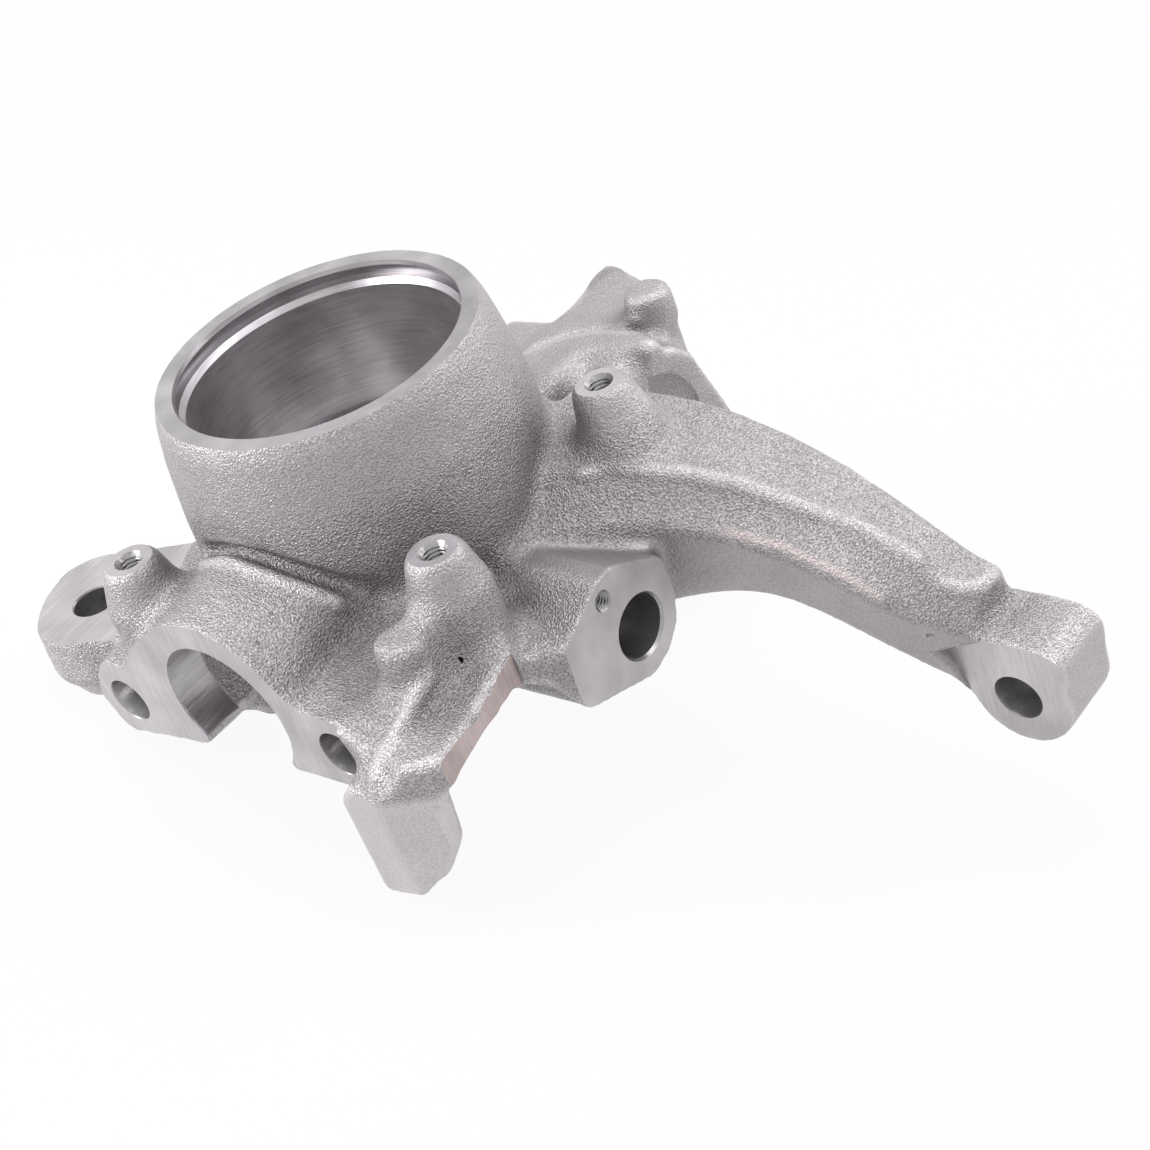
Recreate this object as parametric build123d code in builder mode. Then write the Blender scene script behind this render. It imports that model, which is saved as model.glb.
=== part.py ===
"""Steering knuckle: one sand casting in grey iron with machined seats.

Millimetres. The origin is on the wheel bearing's axis, at the middle of the bearing seat.
+Z points out of the car, -Y is down in the car, +X is the side of the steering arm.
"""

import os

from build123d import *

os.makedirs("parts", exist_ok=True)

# Bearing housing
seat_radius = 41.0
seat_length = 39.4
rim_z = 27.0
rim_radius = 46.8
rim_chamfer = 1.3
mouth_radius = 42.1
groove_radius = 44.2
groove_width = 4.4
ledge_radius = 42.4
shoulder_radius = 36.5
shoulder_thickness = 10.0
housing_radius = 52.6
housing_foot_radius = 53.8
housing_foot_z = -46.0
joint_clearance_radius = 46.5
joint_clearance_depth = 120.0

# Ball joint flange and its half-round skirt; the recess is open towards the inside of the car
flange_y = -77.5
flange_thickness = 21.0
recess_x = 2.5
recess_z = -39.9
recess_radius = 22.0
recess_depth = 13.0
recess_step_radius = 21.2
recess_step_depth = 20.0
cavity_radius = 18.5
cavity_depth = 33.5
cheek_thickness = 13.0
flange_hole_radius = 7.0
left_hole = (-44.7, -48.4)
right_hole = (44.3, -43.3)
skirt_radius = 30.2
skirt_root_radius = 36.0
skirt_root_y = -40.0

# Caliper ears
ear_top_z = -38.5
ear_thickness = 23.0
ear_parting = 16.0
ear_step = 2.5
ear_draft = 5.0
ear_hole_x = -79.5
ear_hole_y = 54.0
ear_hole_radius = 7.0

# Dust shield bosses: three drilled and tapped, two left blank
boss_circle_radius = 71.8
boss_top_z = -3.0
boss_radius = 7.4
boss_edge_chamfer = 1.2
boss_foot_z = -38.0
tapping_radius = 3.4
tapping_depth = 16.0
tapping_mouth_radius = 4.2
blank_boss = (59.5, -56.2)
blank_boss_top_z = -17.0
blank_boss_radius = 6.4
ear_boss = (20.3, 105.5)
ear_boss_top_z = -23.0

# Wheel sensor block
sensor_face_x = 86.5
sensor_hole = (-1.2, -52.5)
sensor_hole_radius = 9.0
sensor_hole_depth = 60.0
sensor_screw = (-10.7, -35.8)
sensor_screw_radius = 2.9
sensor_screw_depth = 14.0
sensor_block_length = 42.0

# Steering arm and its eye
eye_front_y = 46.0
eye_thickness = 22.0
eye_hole = (166.0, -98.0)
eye_hole_radius = 7.0
eye_radius = 15.3
eye_reach = 17.0
arm_edge_radius = 4.0

# Strut leg
leg_top_z = -28.0
leg_foot_z = -78.0
strut_ear_left_x = -11.0
strut_ear_right_x = 14.0
strut_ear_top_z = -31.0
strut_ear_end_y = 125.0
boss_root_x = 27.0
strut_flank_x = 34.0
strut_hole = (77.0, -59.0)
strut_hole_step = (22.0, -36.0)
strut_hole_radius = 6.1
strut_hole_depth = 90.0
spot_face_radius = 22.0
spot_face_depth = 1.0

# Steering stop and the web that carries it
stop_edge = (65.5, -88.0)
stop_thickness = 22.0
stop_side_thickness = 14.0
spine_x = 66.0
web_thickness = 9.0


with BuildPart() as housing:
    with BuildSketch(Plane.XZ):
        with BuildLine():
            rim_edge = Line((shoulder_radius, rim_z), (rim_radius, rim_z))
            rim_round = ThreePointArc(rim_edge @ 1, (48.0, 24.8), (49.2, 20.5))
            flare = ThreePointArc(rim_round @ 1, (51.4, 6.0), (housing_radius, -12.0))
            Polyline(
                flare @ 1,
                (housing_foot_radius, housing_foot_z),
                (shoulder_radius, housing_foot_z),
                rim_edge @ 0,
            )
        make_face()
    revolve(axis=Axis.Z)

# Everything that is turned or left open on the bearing's axis
with BuildPart() as bore:
    with BuildSketch(Plane.XZ):
        with BuildLine():
            Polyline(
                (0, rim_z + 1),
                (mouth_radius + 1, rim_z + 1),
                (mouth_radius, rim_z),
                (mouth_radius - 0.4, rim_z - rim_chamfer),
                (groove_radius, rim_z - rim_chamfer),
                (groove_radius, rim_z - rim_chamfer - groove_width),
                (ledge_radius, rim_z - rim_chamfer - groove_width),
                (seat_radius, seat_length / 2),
                (seat_radius, -seat_length / 2),
                (shoulder_radius, -seat_length / 2),
                (shoulder_radius, -seat_length / 2 - shoulder_thickness),
                (joint_clearance_radius, -seat_length / 2 - shoulder_thickness - 6),
                (joint_clearance_radius + 2, -joint_clearance_depth),
                (0, -joint_clearance_depth),
                close=True,
            )
        make_face()
    revolve(axis=Axis.Z)

with BuildPart() as flange:
    with BuildSketch(Plane.XZ.offset(-flange_y)):
        with BuildLine():
            Polyline(
                (-26.0, -27.0),
                (-38.7, -35.3),
                (-48.5, -34.0),
                (-55.0, -41.0),
                (-58.3, -50.0),
                (-53.3, -61.7),
                (-14.0, -57.0),
                (-14.0, -44.0),
                (19.0, -44.0),
                (19.5, -56.3),
                (60.0, -54.5),
                (62.0, -36.0),
                (54.0, -33.0),
                (46.6, -31.0),
                (35.0, -31.2),
                (24.0, -22.0),
                close=True,
            )
        make_face()
    extrude(amount=-flange_thickness)
    with BuildSketch(Plane.XZ.offset(-flange_y)):
        with Locations((recess_x, recess_z)):
            Circle(skirt_radius)
        with Locations((recess_x, recess_z - skirt_radius)):
            Rectangle(3 * skirt_radius, 2 * skirt_radius, mode=Mode.SUBTRACT)
    extrude(amount=-flange_thickness)
    fillet(flange.edges().filter_by(Axis.Y).sort_by(Axis.X)[:6], 5)

with BuildPart() as skirt:
    with BuildSketch(Plane.XZ.offset(-flange_y)):
        with Locations((recess_x, recess_z)):
            Circle(skirt_radius)
    with BuildSketch(Plane.XZ.offset(-skirt_root_y)):
        with Locations((recess_x, recess_z)):
            Circle(skirt_root_radius)
    loft()
    split(bisect_by=Plane.XY.offset(recess_z - 4), keep=Keep.TOP)

with BuildPart() as ball_joint_recess:
    for radius, depth in (
        (recess_radius, recess_depth),
        (recess_step_radius, recess_step_depth),
        (cavity_radius, cavity_depth),
    ):
        with BuildSketch(Plane.XZ.offset(-flange_y)):
            with Locations((recess_x, recess_z)):
                Circle(radius)
        extrude(amount=-depth)
    with BuildSketch(Plane.XZ.offset(-flange_y)):
        with Locations((recess_x, recess_z - 2 * recess_radius)):
            Rectangle(2 * cavity_radius - 4, 4 * recess_radius)
    extrude(amount=-cavity_depth)

# Behind the machined step the wall left of the recess reaches further into the car
with BuildPart() as recess_cheek:
    with BuildSketch(Plane.YZ.offset(recess_x - recess_step_radius)):
        with BuildLine():
            Polyline(
                (flange_y + recess_depth - 4.0, recess_z - 4.0),
                (flange_y + recess_depth, recess_z - 18.6),
                (flange_y + recess_depth + 3.7, recess_z - 20.2),
                (flange_y + recess_depth + 8.8, recess_z - 25.1),
                (flange_y + recess_depth + 12.8, recess_z - 30.7),
                (flange_y + recess_depth + 19.0, recess_z - 30.7),
                (flange_y + recess_depth + 25.0, recess_z - 4.0),
                close=True,
            )
        make_face()
    extrude(amount=-cheek_thickness)

# The upper half of an ear stands proud of the lower half at the parting line
with BuildSketch() as ear_outline:
    with BuildLine():
        ear_front = ThreePointArc(
            (ear_hole_x + 15.0, -ear_hole_y - 14.0),
            (ear_hole_x + 0.5, -ear_hole_y - 19.7),
            (ear_hole_x - 14.5, -ear_hole_y - 11.0),
        )
        ear_side = ThreePointArc(
            ear_front @ 1,
            (ear_hole_x - 19.6, -ear_hole_y - 2.7),
            (ear_hole_x - 22.0, -ear_hole_y + 6.5),
        )
        ear_back = ThreePointArc(
            ear_side @ 1,
            (ear_hole_x - 19.5, -ear_hole_y + 14.0),
            (ear_hole_x - 10.9, -ear_hole_y + 20.2),
        )
        Polyline(
            ear_back @ 1,
            (-66.0, -22.0),
            (-44.0, -14.0),
            (-30.0, -50.0),
            (-54.0, -66.0),
            ear_front @ 0,
        )
    make_face()
    mirror(about=Plane.XZ)

with BuildPart() as caliper_ears:
    with BuildSketch(Plane.XY.offset(ear_top_z)):
        add(ear_outline.sketch_local)
    extrude(amount=-ear_parting, taper=-ear_draft)
    with BuildSketch(Plane.XY.offset(ear_top_z)):
        add(ear_outline.sketch_local)
        offset(amount=-ear_step)
    extrude(amount=-ear_thickness)

with BuildPart() as sensor_block:
    with BuildSketch(Plane.YZ.offset(sensor_face_x)):
        with BuildLine():
            Polyline(
                (-28.7, -37.6),
                (-11.2, -29.8),
                (-3.5, -29.9),
                (14.0, -39.7),
                (14.7, -52.6),
                (11.9, -61.1),
                (5.3, -66.5),
                (-3.0, -68.5),
                (-28.3, -59.0),
                close=True,
            )
        make_face()
    extrude(amount=-sensor_block_length)
    fillet(sensor_block.edges().filter_by(Axis.X).group_by(Axis.Y)[-1], 3)

# The cheek between the sensor face and the web
with BuildPart() as sensor_cheek:
    with BuildSketch(Plane.XY):
        with BuildLine():
            Polyline(
                (sensor_face_x, -28.4),
                (76.0, -40.0),
                (44.0, -40.0),
                (44.0, -15.0),
                (sensor_face_x, -15.0),
                close=True,
            )
        make_face()
    extrude(amount=-100)
    with BuildSketch(Plane.XZ.offset(50)):
        with BuildLine():
            Polyline(
                (sensor_face_x, -37.6),
                (44.0, -30.0),
                (44.0, -44.5),
                (77.0, -44.5),
                (81.0, -49.5),
                (sensor_face_x, -59.0),
                close=True,
            )
        make_face()
    extrude(amount=-80, mode=Mode.INTERSECT)

# Sections across the arm: x, then y of the parting line, of the top's front and back edges and of
# the underside's front edge, then the heights of the top, of the parting line and of the underside
arm_sections = (
    (38.0, -6.0, 8.5, 52.0, -4.0, -15.0, -29.5, -58.0),
    (50.0, -2.0, 15.5, 57.0, 0.0, -17.5, -30.0, -60.0),
    (64.0, 7.0, 22.0, 60.0, 9.0, -19.5, -31.5, -63.0),
    (90.0, 23.0, 33.0, 62.0, 25.0, -25.0, -38.5, -63.0),
    (120.0, 30.0, 42.0, 62.5, 33.0, -38.2, -49.5, -70.5),
    (148.0, 39.0, 48.5, 65.0, 46.5, -60.8, -71.0, -98.0),
    (158.5, 46.5, 51.5, 65.5, 49.5, -66.6, -80.0, -107.0),
)

with BuildPart() as steering_arm:
    for x, part_y, crest_y, back_y, foot_y, top_z, part_z, foot_z in arm_sections:
        with BuildSketch(Plane.YZ.offset(x)) as section:
            with BuildLine():
                Polyline(
                    (part_y, part_z),
                    (crest_y, top_z),
                    (back_y - 2, top_z),
                    (back_y, part_z),
                    (back_y - 2, foot_z),
                    (foot_y, foot_z),
                    close=True,
                )
            make_face()
            fillet(section.vertices(), arm_edge_radius)
    loft()

eye_x, eye_z = eye_hole

with BuildPart() as eye:
    with BuildSketch(Plane.XZ.offset(-eye_front_y)):
        with BuildLine():
            eye_round = ThreePointArc(
                (eye_x + eye_reach - 1.0, eye_z + 1.7),
                (eye_x + 1.0, eye_z - eye_radius),
                (eye_x - eye_radius + 1.4, eye_z - 4.5),
            )
            Polyline(
                eye_round @ 1,
                (eye_x - 16.3, eye_z + 2.0),
                (eye_x - 17.7, eye_z + 9.0),
                (eye_x - 20.9, eye_z + 15.4),
                (eye_x - 14.0, eye_z + 17.1),
                (eye_x - 1.0, eye_z + 19.2),
                (eye_x + eye_reach - 6.0, eye_z + 18.0),
                (eye_x + eye_reach - 1.0, eye_z + 15.9),
                (eye_x + eye_reach, eye_z + 12.0),
                eye_round @ 0,
            )
        make_face()
    extrude(amount=-eye_thickness)

# Angle on the boss circle, foot radius, and how far the foot leans outwards and sideways
shield_boss_layout = (
    (-114.3, 10.2, 0.0, 0.0),
    (-30.8, 10.2, 0.0, 0.0),
    (31.7, 12.0, 5.5, -2.2),
)

with BuildPart() as shield_bosses:
    for angle, foot_radius, lean_out, lean_side in shield_boss_layout:
        with BuildSketch(Plane.XY.offset(boss_top_z).rotated((0, 0, angle))):
            with Locations((boss_circle_radius, 0)):
                Circle(boss_radius)
        with BuildSketch(Plane.XY.offset(boss_foot_z).rotated((0, 0, angle))):
            with Locations((boss_circle_radius + lean_out, lean_side)):
                Circle(foot_radius)
        loft()
    chamfer(shield_bosses.faces().sort_by(Axis.Z)[-3:].edges(), boss_edge_chamfer)

with BuildPart() as shield_tapping:
    with BuildSketch(Plane.XY.offset(boss_top_z)):
        with Locations((boss_circle_radius, 0)):
            Circle(tapping_mouth_radius)
    extrude(amount=-(tapping_mouth_radius - tapping_radius), taper=45)
    with BuildSketch(Plane.XY.offset(boss_top_z)):
        with Locations((boss_circle_radius, 0)):
            Circle(tapping_radius)
    extrude(amount=-tapping_depth)

with BuildPart() as blank_bosses:
    for centre, top_z, height in (
        (blank_boss, blank_boss_top_z, 22.0),
        (ear_boss, ear_boss_top_z, 40.0),
    ):
        with BuildSketch(Plane.XY.offset(top_z)):
            with Locations(centre):
                Circle(blank_boss_radius)
        extrude(amount=-height)
    chamfer(blank_bosses.faces().filter_by(Axis.Z).sort_by(Axis.Z)[-2:].edges(), boss_edge_chamfer)

# The stop's two front faces meet in an upright edge
stop_face = Plane(origin=(stop_edge[0], stop_edge[1], 0), x_dir=(0.86, 0.5, 0), z_dir=(0.5, -0.86, 0))
stop_side = Plane(origin=(stop_edge[0], stop_edge[1], 0), x_dir=(0.99, -0.13, 0), z_dir=(-0.13, -0.99, 0))

with BuildPart() as stop:
    with BuildSketch(stop_face):
        with BuildLine():
            Polyline(
                (0.0, -45.5),
                (10.5, -35.0),
                (21.0, -34.0),
                (18.8, -45.0),
                (16.5, -64.0),
                (10.6, -73.0),
                (0.0, -80.0),
                close=True,
            )
        make_face()
    extrude(amount=-stop_thickness)
    with BuildSketch(stop_side):
        with BuildLine():
            Polyline(
                (0.0, -45.5),
                (0.0, -80.0),
                (-19.0, -87.0),
                (-19.5, -52.0),
                (-12.0, -44.0),
                close=True,
            )
        make_face()
    extrude(amount=stop_side_thickness, dir=(0, 1, 0))
    with BuildSketch(Plane.XY):
        with BuildLine():
            Polyline(
                (44.0, -90.0),
                (84.4, -90.0),
                (84.4, -76.6),
                (80.0, -74.6),
                (62.0, -71.0),
                (44.0, -70.0),
                close=True,
            )
        make_face()
    extrude(amount=-100, mode=Mode.INTERSECT)

# The web between the flange's right lug, the stop and the sensor block
with BuildPart() as web:
    with BuildSketch(Plane.YZ.offset(20)):
        with BuildLine():
            Polyline(
                (-90.0, -36.0),
                (-40.0, -32.0),
                (-20.0, -27.0),
                (-20.0, -32.0 - web_thickness),
                (-90.0, -35.5 - web_thickness),
                close=True,
            )
        make_face()
    extrude(amount=70)
    with BuildSketch(Plane.XY):
        with BuildLine():
            Polyline(
                (24.0, -77.4),
                (60.0, -77.4),
                (74.5, -82.6),
                (84.2, -77.0),
                (78.0, -38.0),
                (44.0, -20.0),
                (24.0, -44.0),
                close=True,
            )
        make_face()
    extrude(amount=-100, mode=Mode.INTERSECT)

# The raised ground on the flange side of the web, and the spine that falls to the stop's edge
spine_sections = (
    (24.0, -60.0, -27.5, -70.0, -29.8, -77.4, -31.5, -50.0),
    (54.0, -60.0, -27.5, -70.0, -30.2, -77.4, -33.0, -50.0),
    (spine_x, -57.0, -26.5, -75.0, -35.5, -87.5, -45.5, -58.0),
)

with BuildPart() as spine:
    for x, top_y, top_z, mid_y, mid_z, front_y, front_z, foot_z in spine_sections:
        with BuildSketch(Plane.YZ.offset(x)):
            with BuildLine():
                Polyline(
                    (-30.0, -24.0),
                    (top_y, top_z),
                    (mid_y, mid_z),
                    (front_y, front_z),
                    (front_y, foot_z),
                    (-30.0, -44.0),
                    close=True,
                )
            make_face()
    loft(ruled=True)

with BuildPart() as strut_leg:
    with BuildSketch(Plane.XY.offset(leg_top_z)):
        with BuildLine():
            Polyline(
                (-14.0, 40.0),
                (-7.0, 76.0),
                (2.0, 86.0),
                (11.0, 91.0),
                (26.0, 93.0),
                (strut_flank_x, 92.3),
                (strut_flank_x, 85.0),
                (25.0, 82.8),
                (18.5, 80.5),
                (14.0, 77.0),
                (13.0, 40.0),
                close=True,
            )
        make_face()
    extrude(amount=leg_foot_z - leg_top_z)
    fillet(strut_leg.edges().filter_by(Axis.Z), 3)
    fillet(strut_leg.faces().sort_by(Axis.Z)[-1].edges(), 3.5)
    with BuildSketch(Plane.XY.offset(leg_top_z - 5)):
        with BuildLine():
            Polyline((-33.0, 36.0), (-31.0, 96.0), (-12.0, 98.0), (14.0, 98.0), (14.0, 36.0), close=True)
        make_face()
    extrude(amount=leg_foot_z - leg_top_z + 5)

with BuildPart() as strut_ear:
    with BuildSketch(Plane.YZ.offset(strut_ear_left_x)):
        with BuildLine():
            Polyline(
                (60.0, strut_ear_top_z),
                (strut_ear_end_y, strut_ear_top_z),
                (strut_ear_end_y + 2, -60.0),
                (strut_ear_end_y + 8, -100.0),
                (strut_ear_end_y + 4, -124.0),
                (100.0, -122.0),
                (84.0, -96.0),
                (60.0, -70.0),
                close=True,
            )
        make_face()
    extrude(amount=strut_ear_right_x - strut_ear_left_x)
    with BuildSketch(Plane.XY):
        with BuildLine():
            Polyline(
                (strut_ear_left_x, 60.0),
                (strut_ear_left_x, strut_ear_end_y),
                (strut_ear_left_x + 4, strut_ear_end_y),
                (strut_ear_right_x, strut_ear_end_y - 6),
                (strut_ear_right_x, 60.0),
                close=True,
            )
        make_face()
    extrude(amount=-130, mode=Mode.INTERSECT)
    with BuildSketch(Plane.YZ.offset(strut_ear_right_x)):
        with BuildLine():
            Polyline((86.0, -37.0), (106.0, -34.0), (108.0, -46.0), (90.0, -60.0), close=True)
        make_face()
    extrude(amount=boss_root_x - strut_ear_right_x)
    with BuildSketch(Plane.YZ.offset(strut_ear_right_x)):
        with BuildLine():
            Polyline(
                (66.0, -52.0),
                (72.0, -47.0),
                (84.0, -46.0),
                (85.5, -31.5),
                (92.3, -31.5),
                (103.0, -42.3),
                (105.0, -49.3),
                (108.7, -60.6),
                (116.0, -84.0),
                (118.0, -110.0),
                (104.0, -118.0),
                (84.0, -96.0),
                (66.0, -76.0),
                close=True,
            )
        make_face()
    extrude(amount=strut_flank_x - strut_ear_right_x)

with BuildPart() as steering_knuckle:
    add(housing.part)
    add(flange.part)
    add(skirt.part)
    add(recess_cheek.part)
    add(caliper_ears.part)
    add(sensor_block.part)
    add(steering_arm.part)
    add(eye.part)
    add(shield_bosses.part)
    add(blank_bosses.part)
    add(stop.part)
    add(web.part)
    add(spine.part)
    add(sensor_cheek.part)
    add(strut_leg.part)
    add(strut_ear.part)
    add(bore.part, mode=Mode.SUBTRACT)
    add(ball_joint_recess.part, mode=Mode.SUBTRACT)
    for angle, foot_radius, lean_out, lean_side in shield_boss_layout:
        add(shield_tapping.part.rotate(Axis.Z, angle), mode=Mode.SUBTRACT)
    with Locations(Plane.XZ.offset(-flange_y)):
        with Locations(left_hole, right_hole):
            Hole(flange_hole_radius, depth=flange_thickness + 4)
    with Locations((ear_hole_x, ear_hole_y, ear_top_z), (ear_hole_x, -ear_hole_y, ear_top_z)):
        Hole(ear_hole_radius, depth=ear_thickness + 2)
    with Locations(Plane.YZ.offset(sensor_face_x)):
        with Locations(sensor_hole):
            Hole(sensor_hole_radius, depth=sensor_hole_depth)
        with Locations(sensor_screw):
            Hole(sensor_screw_radius, depth=sensor_screw_depth)
    with Locations(Plane.XZ.offset(-eye_front_y)):
        with Locations(eye_hole):
            Hole(eye_hole_radius, depth=eye_thickness + 2)
    with Locations(Plane.YZ.offset(strut_flank_x)):
        with Locations(strut_hole):
            CounterBoreHole(strut_hole_radius, spot_face_radius, spot_face_depth, depth=strut_hole_depth)
        with Locations((strut_hole[0] + strut_hole_step[0], strut_hole[1] + strut_hole_step[1])):
            Hole(strut_hole_radius, depth=strut_hole_depth)

steering_knuckle.part.label = "steering_knuckle"
export_step(steering_knuckle.part, "parts/steering_knuckle.step")
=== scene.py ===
"""Steering knuckle in cast iron: looks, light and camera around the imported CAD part.

The casting's skin is worked out on a distance field in millimetres, grained, and then machined
with real cutters, so machined faces and holes stay crisp. Everything ends in metres, in the row
frame: origin on the bearing's axis, +Z out of the car, -Y down in the car.
"""
import logging
import math
from collections.abc import Iterator
from dataclasses import dataclass, field
from enum import Enum

import bmesh
import bpy
import numpy as np
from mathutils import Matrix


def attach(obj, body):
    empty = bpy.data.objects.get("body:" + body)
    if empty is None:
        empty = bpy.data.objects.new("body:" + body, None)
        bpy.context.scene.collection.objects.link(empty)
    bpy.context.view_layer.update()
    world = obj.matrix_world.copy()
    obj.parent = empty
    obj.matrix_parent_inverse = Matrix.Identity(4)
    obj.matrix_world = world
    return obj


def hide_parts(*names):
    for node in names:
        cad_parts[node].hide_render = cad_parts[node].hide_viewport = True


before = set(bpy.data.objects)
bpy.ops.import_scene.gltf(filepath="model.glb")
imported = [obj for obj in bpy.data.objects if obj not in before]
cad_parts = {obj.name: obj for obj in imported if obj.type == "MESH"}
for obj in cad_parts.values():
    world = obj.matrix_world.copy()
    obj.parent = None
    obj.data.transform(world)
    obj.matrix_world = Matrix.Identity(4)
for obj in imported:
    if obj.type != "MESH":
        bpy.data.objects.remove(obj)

import openvdb
from mathutils import Matrix, Vector

LOG = logging.getLogger("knuckle")
MM = 0.001
NODE = "steering_knuckle"
SHIELD_BOSSES = ((-29.55, -65.44), (61.67, -36.77), (61.09, 37.73))


class Axis(Enum):
    """A direction along which a cutter works."""

    X = 0
    Y = 1
    Z = 2


class Surface(Enum):
    """How a stretch of the casting's surface is finished; the value is its material slot."""

    CAST = 0
    TURNED = 1
    MILLED = 2
    DRILLED = 3
    GROUND = 4


def smooth_step(value: np.ndarray, low: float, high: float) -> np.ndarray:
    """Eases from 0 at low to 1 at high.

    Args:
        value: the numbers to ease.
        low: where the result leaves 0.
        high: where the result reaches 1.

    Returns:
        The eased numbers.
    """
    t = np.clip((value - low) / (high - low), 0.0, 1.0)
    return t * t * (3.0 - 2.0 * t)


def cell_corners(share: np.ndarray) -> Iterator[tuple[int, int, int, np.ndarray]]:
    """The eight corners of a grid cell, each with its weight at places inside the cell."""
    for dx in (0, 1):
        for dy in (0, 1):
            for dz in (0, 1):
                flat = np.abs(1 - dx - share[:, 0]) * np.abs(1 - dy - share[:, 1])
                yield dx, dy, dz, flat * np.abs(1 - dz - share[:, 2])


def vectors(items: object, name: str) -> np.ndarray:
    """Reads one vector an item from mesh data, one a row."""
    values = np.zeros(len(items) * 3)
    items.foreach_get(name, values)
    return values.reshape(-1, 3)


def lattice_noise(points: np.ndarray, wavelength: float, seed: int) -> np.ndarray:
    """Smooth random numbers in space, the same on every run.

    Args:
        points: an array of positions, one a row, in millimetres.
        wavelength: distance between the random values.
        seed: picks the pattern.

    Returns:
        One value a point, from -1 to 1.
    """
    p = points / wavelength + 1000.0
    cell = np.floor(p).astype(np.int64)
    f = p - cell
    f = f * f * (3.0 - 2.0 * f)
    total = np.zeros(len(points))
    for dx, dy, dz, weight in cell_corners(f):
        key = (cell[:, 0] + dx) * 73856093 ^ (cell[:, 1] + dy) * 19349663
        key = key ^ (cell[:, 2] + dz) * 83492791 ^ seed * 2654435761
        key = (key ^ (key >> 13)) * 1274126177 & 0x7FFFFFFF
        key = (key ^ (key >> 16)) & 0xFFFF
        total += weight * (key / 32767.5 - 1.0)
    return total


@dataclass
class CastField:
    """A distance field on a dense grid, in millimetres, negative inside the metal."""

    low: np.ndarray
    high: np.ndarray
    step: float = 1.1
    values: np.ndarray | None = None

    def __post_init__(self) -> None:
        """Rounds the corners to whole steps."""
        self.first = np.floor(self.low / self.step).astype(int)
        self.count = np.ceil(self.high / self.step).astype(int) - self.first + 1

    def axes(self) -> tuple[np.ndarray, np.ndarray, np.ndarray]:
        """The grid's coordinates, shaped so that they broadcast over the grid."""
        shapes = ((-1, 1, 1), (1, -1, 1), (1, 1, -1))
        lines = [(self.first[i] + np.arange(self.count[i])) * self.step for i in range(3)]
        return tuple(line.astype(np.float32).reshape(shapes[i]) for i, line in enumerate(lines))

    def like(self, values: np.ndarray) -> "CastField":
        """A field on the same grid with other values."""
        return CastField(self.low, self.high, self.step, values.astype(np.float32))

    def measured(
        self, points: np.ndarray, triangles: np.ndarray, quads: np.ndarray, reach: float
    ) -> "CastField":
        """Distances to a closed mesh.

        Args:
            points: corners of the mesh in millimetres.
            triangles: its three-sided faces.
            quads: its four-sided faces.
            reach: how far from the surface the distances are needed.

        Returns:
            A new field on the same grid.
        """
        grid = openvdb.FloatGrid.createLevelSetFromPolygons(
            points=np.ascontiguousarray(points, np.float32),
            triangles=np.ascontiguousarray(triangles, np.uint32),
            quads=np.ascontiguousarray(quads, np.uint32),
            transform=openvdb.createLinearTransform(voxelSize=self.step),
            halfWidth=reach / self.step + 3.0,
        )
        values = np.zeros(tuple(self.count), np.float32)
        grid.copyToArray(values, ijk=tuple(int(v) for v in self.first))
        return self.like(values)

    def surface(self, level: float = 0.0) -> tuple[np.ndarray, np.ndarray, np.ndarray]:
        """The mesh where the field equals a level.

        Args:
            level: the distance at which the surface is taken.

        Returns:
            Points, triangles and quads.
        """
        background = float(np.abs(self.values).max())
        grid = openvdb.FloatGrid(background)
        grid.copyFromArray(self.values, ijk=tuple(int(v) for v in self.first), tolerance=0.0)
        grid.transform = openvdb.createLinearTransform(voxelSize=self.step)
        return grid.convertToPolygons(isovalue=level, adaptivity=0.0)

    def offset(self, level: float, reach: float) -> "CastField":
        """Distances to the surface that lies at a level of this field."""
        return self.measured(*self.surface(level), reach)

    def filleted(self, radius: float) -> "CastField":
        """Fills inside corners with a radius, as a pattern maker does."""
        grown = self.offset(radius, radius)
        return self.like(grown.values + radius)

    def rounded(self, radius: float) -> "CastField":
        """Rounds outside edges with a radius."""
        shrunk = self.offset(-radius, radius)
        return self.like(shrunk.values - radius)

    def crowding(self, cells: int) -> "CastField":
        """How much metal stands round each place, from 0 to 1.

        Args:
            cells: reach of one of the three averages, in grid steps.

        Returns:
            The share of metal nearby.
        """
        share = (self.values < 0).astype(np.float32)
        for _ in range(3):
            for axis in range(3):
                pad = [(0, 0)] * 3
                pad[axis] = (cells + 1, cells)
                total = np.cumsum(np.pad(share, pad), axis=axis, dtype=np.float32)
                high = np.take(total, np.arange(2 * cells + 1, total.shape[axis]), axis=axis)
                low = np.take(total, np.arange(0, total.shape[axis] - 2 * cells - 1), axis=axis)
                share = (high - low) / (2 * cells + 1)
        return self.like(share)

    def sample(self, points: np.ndarray) -> np.ndarray:
        """Reads the field between its grid points."""
        p = points / self.step - self.first
        cell = np.clip(np.floor(p).astype(int), 0, self.count - 2)
        f = p - cell
        total = np.zeros(len(points))
        for dx, dy, dz, weight in cell_corners(f):
            total += weight * self.values[cell[:, 0] + dx, cell[:, 1] + dy, cell[:, 2] + dz]
        return total


@dataclass(frozen=True)
class Cutter:
    """A closed tool body that is taken out of the casting."""

    name: str
    points: list[tuple[float, float, float]]
    faces: list[tuple[int, ...]]

    def mesh(self) -> bpy.types.Mesh:
        """The tool as a mesh in metres, with its faces pointing outwards."""
        mesh = bpy.data.meshes.new(self.name)
        mesh.from_pydata([tuple(v * MM for v in p) for p in self.points], [], self.faces)
        shape = bmesh.new()
        shape.from_mesh(mesh)
        bmesh.ops.remove_doubles(shape, verts=shape.verts, dist=1e-7)
        bmesh.ops.recalc_face_normals(shape, faces=shape.faces)
        shape.to_mesh(mesh)
        shape.free()
        return mesh


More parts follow.
